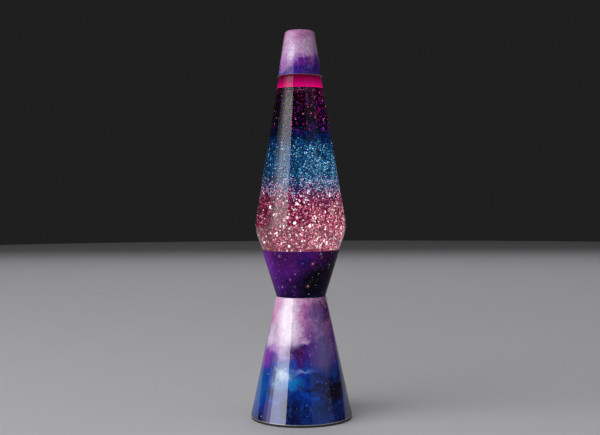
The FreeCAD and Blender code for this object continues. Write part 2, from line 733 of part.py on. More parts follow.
def bulb_screw_cap():
    """The rolled metal screw cap, open at the foot and with a plain skirt round the glass."""
    low = BULB_TIP_Z + 4.3
    thread = threaded_rod(THREAD_MEAN_RADIUS, low + 0.6, SKIRT_FOOT_Z)
    toe = turned([(0, low, 0), (5.4, low, 0), (5.75, low + 0.7, 0), (0, low + 0.7, 0)])
    skirt = turned([
        (0, SKIRT_FOOT_Z - 0.6, 0),
        (6.1, SKIRT_FOOT_Z - 0.6, 0),
        (7.0, SKIRT_FOOT_Z + 0.6, 0),
        (7.7, GLASS_FOOT_Z - 0.4, 0),
        (7.7, GLASS_FOOT_Z + 1.6, 0),
        (0, GLASS_FOOT_Z + 1.6, 0),
    ])
    whole = thread.fuse(toe).fuse(skirt)
    bore = rod(5.4, 40, Vector(0, 0, low + 0.4))
    seat = rod(7.3, 10, Vector(0, 0, GLASS_FOOT_Z))
    return whole.cut(bore).cut(seat)


def bulb_glass():
    """The reflector bulb: a neck, a flared mirror and a domed face."""
    top_z = BULB_TIP_Z + BULB_LENGTH
    outline = [
        (7.2, GLASS_FOOT_Z + 0.05, 0),
        (7.2, GLASS_FOOT_Z + 6, 5),
        (11.5, GLASS_FOOT_Z + 13, 14),
        (BULB_RADIUS, top_z - 15, 4),
        (BULB_RADIUS, top_z - 7.5, 6),
        (9.0, top_z, 16),
        (0, top_z, 0),
    ]
    return turned_sheet(outline, BULB_GLASS_WALL)


def bulb_stem():
    """The glass mount that is sealed into the neck."""
    foot = GLASS_FOOT_Z + 0.4
    return turned([
        (0, foot, 0), (6.1, foot, 0), (6.1, foot + 0.8, 0), (2.6, foot + 3.5, 1.5),
        (2.0, foot + 14, 0), (0, foot + 14, 0),
    ])


def bulb_lead_ins():
    """The two nickel wires that carry the filament."""
    wires = []
    foot_z = GLASS_FOOT_Z + 14.6
    for side in (-1, 1):
        foot, knee = Vector(side * 1.0, 0, foot_z), Vector(side * 5.0, 0, FILAMENT_Z - 1.0)
        wire = rod(0.3, (knee - foot).Length, foot, knee - foot)
        tip = rod(0.3, 1.76, knee, UP)
        wires.append(wire.fuse(tip).fuse(Part.makeSphere(0.3, knee)))
    return wires


def bulb_filament():
    """The coil, drawn as the tube it fills, arched between the tops of the lead-in wires."""
    arch_radius, coil_radius, low_end = 5.5, 0.35, 26
    arch = Part.makeTorus(arch_radius, coil_radius, AXIS_POINT, Vector(0, 1, 0), 0, 360, 180 - 2 * low_end)
    arch.rotate(AXIS_POINT, Vector(0, 1, 0), low_end - 90)
    arch.translate(Vector(0, 0, FILAMENT_Z + 0.95 - arch_radius * math.sin(math.radians(low_end))))
    return arch


def main():
    os.makedirs("parts", exist_ok=True)
    hollow = globe_hollow()
    save("cap_shell", cap_shell())
    save("cap_insert", cap_insert())
    save("cap_pad", cap_pad())
    save("glass_globe", glass_globe(hollow))
    save("lamp_liquid", lamp_liquid(hollow))
    save("glitter_flakes", *glitter_flakes())
    save("crown_cork", crown_cork())
    save("crown_liner", crown_liner())
    save("upper_cup", upper_cup())
    save("lower_cone", lower_cone())
    save("waist_locknut", waist_locknut())
    save("edge_ring", edge_ring())
    save("bottom_cover", bottom_cover())
    save("cover_screws", *cover_screws())
    save("cover_nuts", *cover_nuts())
    save("cord_gland", cord_gland())
    save("centre_tube", centre_tube())
    save("tube_nut_lower", tube_nut(COVER_Z - 2.5, 2.5))
    save("tube_washer", ring(TUBE_RADIUS + SLIP, 9.0, COVER_TOP_Z, COVER_TOP_Z + 1.0))
    save("tube_nut_upper", tube_nut(COVER_TOP_Z + 1.0, 3.0))
    save("socket_cap", socket_cap())
    save("socket_barrel", socket_barrel())
    save("socket_insert", socket_insert())
    save("socket_contact", socket_contact())
    save("socket_screw_shell", socket_screw_shell())
    save("socket_terminals", *socket_terminals())
    save("live_lead", lead(-1))
    save("neutral_lead", lead(1))
    save("terminal_block", terminal_block())
    save("terminal_sleeves", *terminal_sleeves())
    save("terminal_screws", *terminal_screws())
    save("block_screw", block_screw())
    save("bulb_contact", bulb_contact())
    save("bulb_insulator", bulb_insulator())
    save("bulb_screw_cap", bulb_screw_cap())
    save("bulb_glass", bulb_glass())
    save("bulb_stem", bulb_stem())
    save("bulb_lead_ins", *bulb_lead_ins())
    save("bulb_filament", bulb_filament())


main()
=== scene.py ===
import json
import math
import random

import bpy
import numpy as np
from mathutils import Matrix, Vector, noise


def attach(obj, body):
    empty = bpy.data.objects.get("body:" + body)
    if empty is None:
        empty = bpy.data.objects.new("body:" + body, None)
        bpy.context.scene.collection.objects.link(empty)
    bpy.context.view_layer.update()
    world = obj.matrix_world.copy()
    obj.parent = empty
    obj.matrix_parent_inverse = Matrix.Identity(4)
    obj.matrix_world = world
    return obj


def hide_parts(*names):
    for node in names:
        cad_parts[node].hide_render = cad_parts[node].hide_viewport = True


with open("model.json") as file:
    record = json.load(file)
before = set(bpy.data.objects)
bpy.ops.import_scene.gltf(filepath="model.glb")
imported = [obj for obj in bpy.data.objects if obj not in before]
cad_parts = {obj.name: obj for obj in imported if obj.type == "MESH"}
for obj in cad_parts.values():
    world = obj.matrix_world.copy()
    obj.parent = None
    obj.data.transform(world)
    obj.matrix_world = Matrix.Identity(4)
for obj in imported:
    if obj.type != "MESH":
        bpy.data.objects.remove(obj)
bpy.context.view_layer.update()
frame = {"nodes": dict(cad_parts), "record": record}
nodes = frame["nodes"]
mm = 0.001
print("frame loaded:", len(nodes), "nodes")


class Wire:  # a socket that can be used in sums
    def __init__(self, finish, socket):
        self.finish = finish
        self.socket = socket

    def math(self, operation, first, second=0.0):
        return self.finish.add("ShaderNodeMath", {"operation": operation}, {0: first, 1: second})

    def __add__(self, other):
        return self.math("ADD", self, other)

    def __sub__(self, other):
        return self.math("SUBTRACT", self, other)

    def __mul__(self, other):
        return self.math("MULTIPLY", self, other)

    def __truediv__(self, other):
        return self.math("DIVIDE", self, other)

    def __pow__(self, other):
        return self.math("POWER", self, other)

    def __radd__(self, other):
        return self.math("ADD", other, self)

    def __rsub__(self, other):
        return self.math("SUBTRACT", other, self)

    def __rmul__(self, other):
        return self.math("MULTIPLY", other, self)

    def __rtruediv__(self, other):
        return self.math("DIVIDE", other, self)

    def __rpow__(self, other):
        return self.math("POWER", other, self)


class Finish:  # a material under construction
    def __init__(self, name):
        self.material = bpy.data.materials.new(name)
        self.material.use_nodes = True
        self.nodes = self.material.node_tree.nodes
        self.links = self.material.node_tree.links
        self.nodes.clear()

    def add(self, kind, settings=None, inputs=None, out=0):  # settings first, then values or links
        node = self.nodes.new(kind)
        for key, value in (settings or {}).items():
            if key == "stops":
                ramp = node.color_ramp
                while len(ramp.elements) > 1:
                    ramp.elements.remove(ramp.elements[-1])
                ramp.elements[0].position = value[0][0]
                ramp.elements[0].color = (*value[0][1], 1)
                for position, colour in value[1:]:
                    ramp.elements.new(position).color = (*colour, 1)
            else:
                setattr(node, key, value)
        for key, value in (inputs or {}).items():
            if isinstance(value, Wire):
                self.links.new(value.socket, node.inputs[key])
            else:
                node.inputs[key].default_value = value
        return Wire(self, node.outputs[out])

    def place(self):  # object coordinates in millimetres
        coords = self.add("ShaderNodeTexCoord", out="Object")
        return self.add("ShaderNodeVectorMath", {"operation": "SCALE"}, {0: coords, "Scale": 1 / mm})

    def parts(self, vector):  # x, y and z of a vector
        x = self.add("ShaderNodeSeparateXYZ", None, {0: vector})
        outputs = x.socket.node.outputs
        return x, Wire(self, outputs[1]), Wire(self, outputs[2])

    def turned(self, at):  # the distance from the axis, the height, and both as a place on a turned profile
        x, y, z = self.parts(at)
        radius = self.length(self.add("ShaderNodeCombineXYZ", None, {0: x, 1: y}))
        return radius, z, self.add("ShaderNodeCombineXYZ", None, {0: radius, 1: z})

    def noise(self, vector, scale, detail=4.0, rough=0.55, out=0):
        sockets = {"Vector": vector, "Scale": scale, "Detail": detail, "Roughness": rough}
        return self.add("ShaderNodeTexNoise", None, sockets, out)

    def cells(self, vector, scale, out="Distance"):
        return self.add("ShaderNodeTexVoronoi", {"feature": "F1"}, {"Vector": vector, "Scale": scale}, out)

    def fade(self, value, low, high):  # 0 at low, 1 at high, eased
        return self.add("ShaderNodeMapRange", {"interpolation_type": "SMOOTHSTEP"}, {0: value, 1: low, 2: high})

    def ramp(self, value, stops):
        return self.add("ShaderNodeValToRGB", {"stops": stops}, {"Fac": value})

    def mix(self, factor, first, second):  # colours
        first = first if isinstance(first, Wire) else (*first, 1)
        second = second if isinstance(second, Wire) else (*second, 1)
        settings = {"data_type": "RGBA", "blend_type": "MIX"}
        return self.add("ShaderNodeMix", settings, {0: factor, 6: first, 7: second}, 2)

    def vector(self, operation, first, second):
        return self.add("ShaderNodeVectorMath", {"operation": operation}, {0: first, 1: second})

    def length(self, vector):
        return self.add("ShaderNodeVectorMath", {"operation": "LENGTH"}, {0: vector}, 1)

    def bump(self, height, distance, strength=1.0):
        return self.add("ShaderNodeBump", None, {"Height": height, "Distance": distance, "Strength": strength})

    def surface(self, inputs):  # the Principled shader and the output; a plain colour gets its alpha here
        for key, value in inputs.items():
            if isinstance(value, tuple) and len(value) == 3 and ("Color" in key or "Tint" in key):
                inputs[key] = (*value, 1)
        shader = self.add("ShaderNodeBsdfPrincipled", None, inputs)
        output = self.nodes.new("ShaderNodeOutputMaterial")
        self.links.new(shader.socket, output.inputs["Surface"])
        return self.material

    def glowing(self, colour, strength, inputs):  # most of its colour is its own light: painted light, for parts that are no lamp
        base = self.mix(0.85, colour, (0, 0, 0))
        return self.surface({"Base Color": base, "Emission Color": colour, "Emission Strength": strength, **inputs})


def dress(piece, material):
    piece.data.materials.clear()
    piece.data.materials.append(material)


navy, midnight, black = (0.004, 0.005, 0.07), (0.002, 0.002, 0.03), (0.002, 0.001, 0.004)
cobalt, azure, ice = (0.0, 0.045, 0.36), (0.002, 0.2, 0.6), (0.75, 0.92, 1.0)
indigo, violet, plum = (0.03, 0.02, 0.25), (0.13, 0.015, 0.27), (0.055, 0.004, 0.09)
orchid, rose, blush = (0.35, 0.08, 0.36), (0.68, 0.27, 0.5), (0.83, 0.5, 0.72)
pearl, slate = (0.95, 0.86, 0.95), (0.14, 0.12, 0.36)
nowhere = 500.0  # a height in mm that the lamp never reaches

footPrint = {
    "low": 2.2, "high": 126.0, "radii": (52.6, 25.9), "wall": 0.7,  # the wall in mm, and its radii at both ends
    "hem": 3.1, "edge": nowhere, "crown": nowhere, "corner": None, "rim": 1.0,  # the bare steel; rim scales its tone, and the cup's and cap's lower values are painted shade
    "swirl": 17.0, "patch": 0.03, "spread": 0.34, "seed": 3.0, "wisps": 0.35, "grain": 0.3,  # how its colours run
    "gloss": 3.6, "coat": 0.55, "shine": 0.05,
    "stops": [(0.0, navy), (0.16, cobalt), (0.3, navy), (0.4, cobalt), (0.5, indigo),
              (0.6, violet), (0.72, orchid), (0.85, rose), (1.0, blush)],
    "clouds": [  # across, up, width, height, colour, strength
        (-14, 101, 13, 32, pearl, 0.9), (-30, 84, 10, 16, pearl, 0.9), (5, 112, 13, 16, (0.42, 0.12, 0.4), 0.9),
        (17, 113, 12, 16, (0.2, 0.03, 0.2), 0.9), (25, 112, 9, 20, (0.07, 0.003, 0.1), 1.0),
        (16, 100, 13, 18, slate, 0.7), (-35, 65, 13, 13, (0.26, 0.05, 0.42), 1.0), (-4, 71, 12, 11, plum, 1.0),
        (1, 84, 7, 3.5, (0.75, 0.5, 0.75), 0.8), (-27, 74, 8, 8, (0.55, 0.3, 0.66), 0.85),
        (-17, 66, 8, 6, (0.4, 0.26, 0.62), 0.7), (-21, 24, 7, 16, (0.02, 0.17, 0.5), 0.65),
        (24, 76, 13, 20, (0.16, 0.14, 0.36), 0.9), (-18, 44, 13, 11, (0.2, 0.48, 0.8), 0.7),
        (-21, 47, 7, 6, ice, 0.6), (2, 55, 13, 2.8, (0.24, 0.4, 0.8), 0.65),
        (-44, 34, 14, 22, (0.0, 0.1, 0.36), 0.95), (-8, 40, 12, 8, azure, 1.0), (-8, 14, 18, 15, midnight, 0.95),
        (32, 32, 19, 26, (0.008, 0.001, 0.015), 1.0), (19, 15, 10, 8, (0.0, 0.03, 0.12), 0.9),
        (37, 92, 9, 28, indigo, 0.95), (-34, 14, 9, 8, indigo, 0.8),
    ],
    "stars": [  # cells per mm, reach, rarity, gain, halo
        (0.12, 0.07, 0.55, 1.0, 0.12), (0.3, 0.12, 0.7, 0.75, 0), (0.6, 0.14, 0.72, 0.45, 0),
    ],
    "sparks": [],
}
cupPrint = {
    "low": 126.0, "high": 174.0, "radii": (25.3, 40.4), "wall": 0.7,
    "hem": 100.0, "edge": 173.9, "crown": nowhere, "corner": None, "rim": 0.6,
    "swirl": 13.0, "patch": 0.035, "spread": 0.5, "seed": 11.0, "wisps": 0.05, "grain": 0.4,
    "gloss": 1.3, "coat": 0.3, "shine": 0.0,
    "stops": [(0.0, midnight), (0.25, (0.02, 0.002, 0.05)), (0.5, (0.05, 0.005, 0.12)), (0.75, (0.09, 0.008, 0.16)),
              (1.0, plum)],
    "clouds": [
        (-33, 158, 12, 26, (0.14, 0.018, 0.27), 1.0), (-25, 138, 8, 16, (0.08, 0.008, 0.17), 0.8),
        (-12, 167, 14, 9, plum, 0.8), (4, 163, 10, 7, (0.02, 0.006, 0.14), 0.9),
        (10, 172, 14, 5, (0.1, 0.01, 0.2), 0.8), (12, 143, 19, 20, black, 1.0), (30, 155, 15, 22, black, 1.0),
        (24, 168, 9, 6, (0.05, 0.004, 0.06), 0.7),
    ],
    "stars": [(0.12, 0.085, 0.5, 1.0, 0.12), (0.3, 0.14, 0.6, 0.9, 0), (0.6, 0.15, 0.6, 0.6, 0)],
    "sparks": [  # across, up, radius, colour
        (12, 161.5, 1.1, (1.0, 0.22, 0.34)), (29, 159.5, 0.8, (0.35, 0.5, 1.0)), (7, 138.5, 0.75, (1.0, 0.45, 0.4)),
        (-11, 145, 0.7, (0.8, 0.15, 0.5)), (-6, 151, 0.5, (0.55, 0.4, 0.95)), (18, 151, 0.45, (0.7, 0.65, 0.9)),
        (2, 162, 0.5, (0.3, 0.25, 0.9)), (-19, 137, 0.45, (0.75, 0.6, 0.95)), (21, 168, 0.5, (0.9, 0.3, 0.5)),
    ],
}
capPrint = {
    "low": 352.7, "high": 400.0, "radii": (22.6, 15.0), "wall": 0.6,
    "hem": 353.5, "edge": nowhere, "crown": 399.7, "corner": (3.4, 396.1), "rim": 0.35,
    "swirl": 9.0, "patch": 0.06, "spread": 0.3, "seed": 23.0, "wisps": 0.5, "grain": 0.6,
    "gloss": 1.9, "coat": 0.5, "shine": 0.05,
    "stops": [(0.0, (0.05, 0.012, 0.24)), (0.16, (0.12, 0.014, 0.24)), (0.32, orchid), (0.46, (0.5, 0.26, 0.48)),
              (0.7, (0.56, 0.32, 0.5)), (1.0, (0.5, 0.22, 0.4))],
    "clouds": [
        (-10, 374, 8, 11, (0.8, 0.66, 0.8), 0.85), (-17, 372, 4, 9, (0.7, 0.45, 0.66), 0.8),
        (9, 383, 8, 10, (0.5, 0.38, 0.5), 0.9), (2, 393, 8, 6, (0.4, 0.15, 0.34), 0.8),
        (4, 367, 9, 6, (0.14, 0.008, 0.22), 1.0), (0, 359, 11, 5, (0.03, 0.008, 0.2), 0.9),
        (18, 365, 4.5, 13, indigo, 1.0), (-17, 361, 6, 10, (0.5, 0.26, 0.5), 0.8),
        (-12, 392, 6, 7, (0.66, 0.46, 0.62), 0.7), (12, 360, 8, 6, (0.02, 0.01, 0.14), 0.9),
    ],
    "stars": [(0.12, 0.06, 0.5, 0.7, 0.1), (0.4, 0.1, 0.5, 0.5, 0)],
    "sparks": [],
}
printing = {  # what the three prints share
    "drags": [(1, 5, 2.2), (5, 4, 0.65)],  # patches, detail and pull of the swirls
    "cloudScale": 1.6, "smokeScale": 6,  # in patches
    "cloudEdge": (1.45, 0.15), "cloudDepth": 1.3, "ragged": 1.3,
    "dusk": (0.35, 0.3, 0.45), "duskMost": 0.46, "duskLift": 0.42, "duskFade": (0.35, 0.75),
    "warmWisp": blush, "warmFade": (0.52, 0.78), "coolWisp": (0.02, 0.16, 0.62), "coolFade": (0.5, 0.75),
    "warmFrom": (0.45, 0.65), "grainScale": 0.42, "grainFade": (0.62, 0.38), "grainTint": (0.5, 0.42, 0.6),
    "starCore": 0.35, "starHalo": 3.5, "starSpread": 0.3, "sparkCore": 0.3, "sparkHalo": 4,
    "starHues": [(0.0, (0.45, 0.65, 1.0)), (0.4, (0.95, 0.95, 1.0)), (0.75, (0.95, 0.85, 1.0)),
                 (0.85, (1.0, 0.3, 0.45)), (1.0, (1.0, 0.5, 0.45))],
    "steel": ((0.5, 0.48, 0.52), (0.74, 0.7, 0.76)), "feather": 0.15, "crownFall": 30,
}


def wallAt(look, height):  # the radius of the wall at a height
    slope = (look["radii"][1] - look["radii"][0]) / (look["high"] - look["low"])
    return look["radii"][0] + (height - look["low"]) * slope


def onFront(look, across, up):  # a place on the front of the wall
    return across, -math.sqrt(max(wallAt(look, up) ** 2 - across ** 2, 0)), up


def swirledPlace(f, look, at):  # the coordinates are dragged about, so the colours run in swirls
    shifted = f.vector("ADD", at, (look["seed"] * 17, 0, 0))
    for size, detail, pull in printing["drags"]:
        push = f.vector("SUBTRACT", f.noise(shifted, look["patch"] * size, detail, 0.6, 1), (0.5, 0.5, 0.5))
        at = f.vector("ADD", at, f.vector("MULTIPLY", push, (look["swirl"] * pull,) * 3))
    return at


def laidClouds(f, look, swirled, smoke, colour):  # they lie on the front, and the back follows the front
    x, y, z = f.parts(swirled)
    wrapped = f.add("ShaderNodeCombineXYZ", None, {0: x, 1: 0 - y.math("ABSOLUTE", y), 2: z})
    for across, up, width, tall, tint, strength in look["clouds"]:
        away = f.vector("SUBTRACT", wrapped, onFront(look, across, up))
        away = f.vector("DIVIDE", away, (width, width * printing["cloudDepth"], tall))
        mask = f.fade(f.length(away) + (smoke - 0.5) * printing["ragged"], *printing["cloudEdge"])
        colour = f.mix(mask * strength, colour, tint)
    return colour


def hazed(f, look, at, height, cloud, smoke, colour):  # smoky light and dark, wisps and a fine grain
    dusk = printing["duskMost"] - f.fade(smoke, *printing["duskFade"]) * printing["duskLift"]
    colour = f.mix(dusk, colour, f.vector("MULTIPLY", colour, printing["dusk"]))
    warm = f.fade(height + (cloud - 0.5) * 0.4, *printing["warmFrom"])
    colour = f.mix(f.fade(smoke, *printing["warmFade"]) * look["wisps"] * warm, colour, printing["warmWisp"])
    colour = f.mix(f.fade(smoke, *printing["coolFade"]) * look["wisps"] * (1 - warm), colour, printing["coolWisp"])
    grain = f.noise(f.vector("ADD", at, (look["seed"] * 17, 0, 40)), printing["grainScale"], 5, 0.75)
    specks = f.fade(grain, *printing["grainFade"]) * look["grain"]
    return f.mix(specks, colour, f.vector("MULTIPLY", colour, printing["grainTint"]))


def starred(f, look, at, colour):  # scattered stars, then the larger ones, each in its place
    moved = f.vector("ADD", at, (look["seed"] * 5, 3.0, 9.0))
    for size, reach, rarity, gain, halo in look["stars"]:
        near = f.cells(moved, size)
        pick, warm, _ = f.parts(f.cells(moved, size, "Color"))
        chosen = f.fade(pick, rarity, rarity + printing["starSpread"])
        spot = f.fade(near, reach, reach * printing["starCore"]) * chosen
        glow = f.fade(near, reach * printing["starHalo"], 0.0) * f.fade(pick, rarity + 0.1, 1.0) * halo
        colour = f.mix((spot + glow) * gain, colour, f.ramp(warm, printing["starHues"]))
    for across, up, size, tint in look["sparks"]:
        away = f.length(f.vector("SUBTRACT", at, onFront(look, across, up)))
        spot = f.fade(away, size, size * printing["sparkCore"]) * 0.9
        colour = f.mix(spot + f.fade(away, size * printing["sparkHalo"], 0.0) * 0.1, colour, tint)
    return colour


def bareSteel(f, look, z, radius):  # the rolled edge and the inside have no print
    feather, wall = printing["feather"], look["wall"]
    bare = f.fade(look["hem"] - z, 0.0, feather)
    bare = bare.math("MAXIMUM", bare, f.fade(z, look["edge"], look["edge"] + feather))
    depthIn = wallAt(look, z) - radius
    if look["corner"]:  # the shell turns in over its rounded top edge
        bend, start = look["corner"]
        rise = z.math("MINIMUM", z.math("MAXIMUM", z - start, 0.0), bend * 0.99)
        depthIn = depthIn - (bend - (bend ** 2 - rise * rise) ** 0.5)
    below = f.fade(look["crown"] - z - radius / printing["crownFall"], -0.1, 0.1)
    return bare.math("MAXIMUM", bare, f.fade(depthIn, wall * 0.45, wall * 0.6) * below)


def printedMetal(name, look):
    f = Finish(name)
    at = f.place()
    radius, z, profile = f.turned(at)
    swirled = swirledPlace(f, look, at)
    seed, patch = look["seed"], look["patch"]
    cloud = f.noise(f.vector("ADD", swirled, (seed * 9, 0, 0)), patch * printing["cloudScale"], 8, 0.62)
    smoke = f.noise(f.vector("ADD", swirled, (0, seed * 7, 0)), patch * printing["smokeScale"], 8, 0.65)
    height = (f.parts(swirled)[2] - look["low"]) / (look["high"] - look["low"])
    colour = f.ramp(height + (cloud - 0.5) * look["spread"] * 2, look["stops"])
    colour = laidClouds(f, look, swirled, smoke, colour)
    colour = hazed(f, look, at, height, cloud, smoke, colour)
    colour = starred(f, look, at, colour)
    bare = bareSteel(f, look, z, radius)
    brushed = f.noise(profile, 6.0, 3)
    # the same steel made darker for the cup and the cap by rim: painted shade
    dull, bright = (tuple(c * look["rim"] for c in tone) for tone in printing["steel"])
    peel = f.noise(at, 0.9, 2)
    return f.surface({
        "Base Color": f.mix(bare, colour, f.ramp(brushed, [(0.3, dull), (0.7, bright)])),
        "Metallic": bare * 0.95, "Roughness": 0.3 + (smoke - 0.5) * 0.12,
        "Normal": f.bump(peel + brushed * bare * 1.5, 0.00003, 0.35),
        "Coat Weight": look["coat"], "Coat Roughness": 0.03, "Coat IOR": look["gloss"],
        "Specular IOR Level": look["shine"],
    })


dress(nodes["lower_cone"], printedMetal("galaxy print, foot", footPrint))
dress(nodes["upper_cup"], printedMetal("galaxy print, cup", cupPrint))
dress(nodes["cap_shell"], printedMetal("galaxy print, cap", capPrint))
print("printed metal dressed")


finishes = {  # tone, second tone, metallic, roughness, marks, size of the marks per mm, depth in m
    "white_moulding": ((0.72, 0.71, 0.67), (0.6, 0.59, 0.55), 0, 0.45, "grain", 2.5, 0.00003),
    "black_moulding": ((0.012, 0.012, 0.013), (0.03, 0.03, 0.032), 0, 0.42, "grain", 3.0, 0.00004),
    "holder_moulding": ((0.016, 0.015, 0.015), (0.035, 0.034, 0.033), 0, 0.34, "grain", 1.6, 0.00003),
    "felt": ((0.03, 0.03, 0.033), (0.07, 0.07, 0.075), 0, 0.95, "grain", 5.0, 0.0003),
    "tinplate": ((0.6, 0.59, 0.57), (0.74, 0.73, 0.71), 1, 0.28, "turned", 4.0, 0.00002),
    "liner": ((0.7, 0.68, 0.6), (0.62, 0.6, 0.52), 0, 0.6, "grain", 1.5, 0.00003),
    "zinc_steel": ((0.5, 0.5, 0.48), (0.68, 0.67, 0.6), 1, 0.36, "turned", 5.0, 0.00003),
    "black_rubber": ((0.012, 0.012, 0.012), (0.026, 0.026, 0.026), 0, 0.72, "grain", 2.0, 0.00008),
    "cover_paint": ((0.018, 0.018, 0.02), (0.035, 0.035, 0.038), 0, 0.5, "grain", 1.4, 0.00009),
    "porcelain": ((0.78, 0.75, 0.69), (0.68, 0.65, 0.58), 0, 0.32, "grain", 0.8, 0.00003),
    "brass": ((0.62, 0.42, 0.14), (0.72, 0.52, 0.2), 1, 0.3, "turned", 4.0, 0.00002),
    "brown_insulation": ((0.1, 0.035, 0.012), (0.14, 0.055, 0.02), 0, 0.4, "grain", 2.0, 0.00003),
    "blue_insulation": ((0.01, 0.06, 0.3), (0.02, 0.09, 0.38), 0, 0.4, "grain", 2.0, 0.00003),
    "solder": ((0.42, 0.42, 0.44), (0.6, 0.6, 0.62), 1, 0.38, "grain", 1.5, 0.00012),
    "black_glass": ((0.006, 0.005, 0.01), (0.014, 0.012, 0.02), 0, 0.12, "grain", 0.6, 0.00003),
    "bulb_metal": ((0.62, 0.6, 0.55), (0.76, 0.74, 0.69), 1, 0.3, "turned", 5.0, 0.00002),
    "nickel_wire": ((0.55, 0.53, 0.48), (0.66, 0.64, 0.58), 1, 0.3, "turned", 3.0, 0.00001),
}


def plainFinish(name, tone, second, metallic, rough, marks, size, depth):
    f = Finish(name)
    at = f.place()
    radius, z, profile = f.turned(at)
    lines = f.noise(profile if marks == "turned" else at, size, 5, 0.6)
    cloudy = f.noise(at, 0.12, 4, 0.6)
    return f.surface({
        "Base Color": f.mix(f.fade(lines * 0.5 + cloudy * 0.5, 0.35, 0.65), tone, second),
        "Metallic": float(metallic),
        "Roughness": rough + (lines - 0.5) * 0.18 + (cloudy - 0.5) * 0.15,
        "Normal": f.bump(lines, depth, 0.6),
    })


slotOf = {entry["node"]: entry["material_slot"] for entry in frame["record"]["subparts"]}
made = {slot: plainFinish(slot.replace("_", " "), *look) for slot, look in finishes.items()}
for node, slot in slotOf.items():
    if slot in made:
        dress(nodes[node], made[slot])
print("plain finishes dressed")


glassLook = {"tint": (0.97, 0.955, 0.975), "blush": (0.95, 0.32, 0.6), "blushFade": (340.5, 352.0)}


def clearGlass():
    f = Finish("clear glass")
    at = f.place()
    z = f.parts(at)[2]
    flow = f.noise(f.vector("MULTIPLY", at, (1, 1, 0.25)), 0.06, 3)  # drawn out along the height
    colour = f.mix(f.fade(z, *glassLook["blushFade"]), glassLook["tint"], glassLook["blush"])
    return f.surface({
        "Base Color": colour, "Roughness": 0.012, "IOR": 1.5, "Transmission Weight": 1.0,
        "Normal": f.bump(flow, 0.0003, 0.25),
    })


bulbLook = {
    "rim": 126.5, "frostOver": 0.8, "crownOver": 10, "frost": (0.95, 0.9, 0.82),  # the rim and the fades in mm
    "mirror": [(0.35, (0.7, 0.7, 0.7)), (0.65, (0.86, 0.86, 0.85))],
    "light": (1.0, 0.62, 0.3), "brightness": 1.5, "lowest": 0.35,
}


def bulbGlass():  # mirrored below the widest part, frosted and lit above it
    f = Finish("reflector bulb")
    at = f.place()
    z = f.parts(at)[2]
    speckle = f.noise(at, 1.2, 4)
    rim, lowest = bulbLook["rim"], bulbLook["lowest"]
    frosted = f.fade(z, rim, rim + bulbLook["frostOver"])
    crown = f.fade(z, rim, rim + bulbLook["crownOver"])
    return f.surface({
        "Base Color": f.mix(frosted, f.ramp(speckle, bulbLook["mirror"]), bulbLook["frost"]),
        "Metallic": 1 - frosted, "Roughness": 0.12 + frosted * 0.4 + (speckle - 0.5) * 0.1,
        "Emission Color": f.mix(frosted * (lowest + crown * (1 - lowest)), (0, 0, 0), bulbLook["light"]),
        "Emission Strength": bulbLook["brightness"],
        "Normal": f.bump(speckle, 0.00004, 0.4),
    })


def stemGlass():
    f = Finish("stem glass")
    wavy = f.noise(f.place(), 0.4, 3)
    return f.surface({
        "Base Color": f.mix(wavy, (0.85, 0.92, 0.9), (0.95, 0.98, 0.97)), "Roughness": 0.03, "IOR": 1.5,
        "Transmission Weight": 1.0, "Normal": f.bump(wavy, 0.0002, 0.4),
    })


def glowingCoil():
    f = Finish("glowing coil")
    bands = {"wave_type": "BANDS", "bands_direction": "X"}
    turns = f.add("ShaderNodeTexWave", bands, {"Vector": f.place(), "Scale": 1.6}, 1)
    return f.surface({
        "Base Color": (0.3, 0.28, 0.26), "Metallic": 1.0, "Roughness": 0.4,
        "Emission Color": f.mix(turns, (1.0, 0.35, 0.08), (1.0, 0.72, 0.32)), "Emission Strength": 8.0,
        "Normal": f.bump(turns, 0.0003),
    })


dress(nodes["glass_globe"], clearGlass())
dress(nodes["bulb_glass"], bulbGlass())
dress(nodes["bulb_stem"], stemGlass())
dress(nodes["bulb_filament"], glowingCoil())
print("glass dressed")


def deselect():
    if bpy.context.object and bpy.context.object.mode != "OBJECT":
        bpy.ops.object.mode_set(mode="OBJECT")
    bpy.ops.object.select_all(action="DESELECT")


def settle(piece):  # its place goes into its mesh
    deselect()
    piece.select_set(True)
    bpy.context.view_layer.objects.active = piece
    bpy.ops.object.transform_apply(location=True, rotation=True, scale=True)


turning = {"steps": 96, "speck": 0.001, "weld": 0.000004, "copyWeld": 0.000002, "smooth": math.radians(40)}


def lathe(name, profile):  # one corner of a plane is drawn out along the profile, then spun
    deselect()
    bpy.ops.mesh.primitive_plane_add(size=turning["speck"], location=(profile[0][0], 0, profile[0][1]))
    piece = bpy.context.object
    piece.name = name
    settle(piece)
    bpy.ops.object.mode_set(mode="EDIT")
    bpy.ops.mesh.select_all(action="SELECT")
    bpy.ops.mesh.merge(type="CENTER")
    for (fromRadius, fromHeight), (radius, height) in zip(profile, profile[1:]):
        step = (radius - fromRadius, 0, height - fromHeight)
        bpy.ops.mesh.extrude_vertices_move(TRANSFORM_OT_translate={"value": step})
    bpy.ops.mesh.select_all(action="SELECT")
    bpy.ops.mesh.spin(steps=turning["steps"], angle=2 * math.pi, center=(0, 0, 0), axis=(0, 0, 1))
    bpy.ops.mesh.select_all(action="SELECT")
    bpy.ops.mesh.remove_doubles(threshold=turning["weld"])
    bpy.ops.mesh.normals_make_consistent(inside=False)
    bpy.ops.object.mode_set(mode="OBJECT")
    bpy.ops.object.shade_smooth_by_angle(angle=turning["smooth"])
    return piece


rowHeight = 0.0008  # points nearer in height than this are one row


def wallProfile(node):  # the widest point of a turned node at each height
    points = np.array([v.co for v in nodes[node].data.vertices])
    heights, radii = points[:, 2], np.hypot(points[:, 0], points[:, 1])
    rows = {}
    for height, radius in zip(heights, radii):
        key = round(float(height) / rowHeight)
        if radius > rows.get(key, (0, 0))[1]:
            rows[key] = (float(height), float(radius))
    kept = sorted(rows.values())
    return np.array([row[0] for row in kept]), np.array([row[1] for row in kept])


bore = {"above": 0.25, "outside": 0.0115, "facing": -0.2, "rows": 14}  # which faces of the glass are its bore


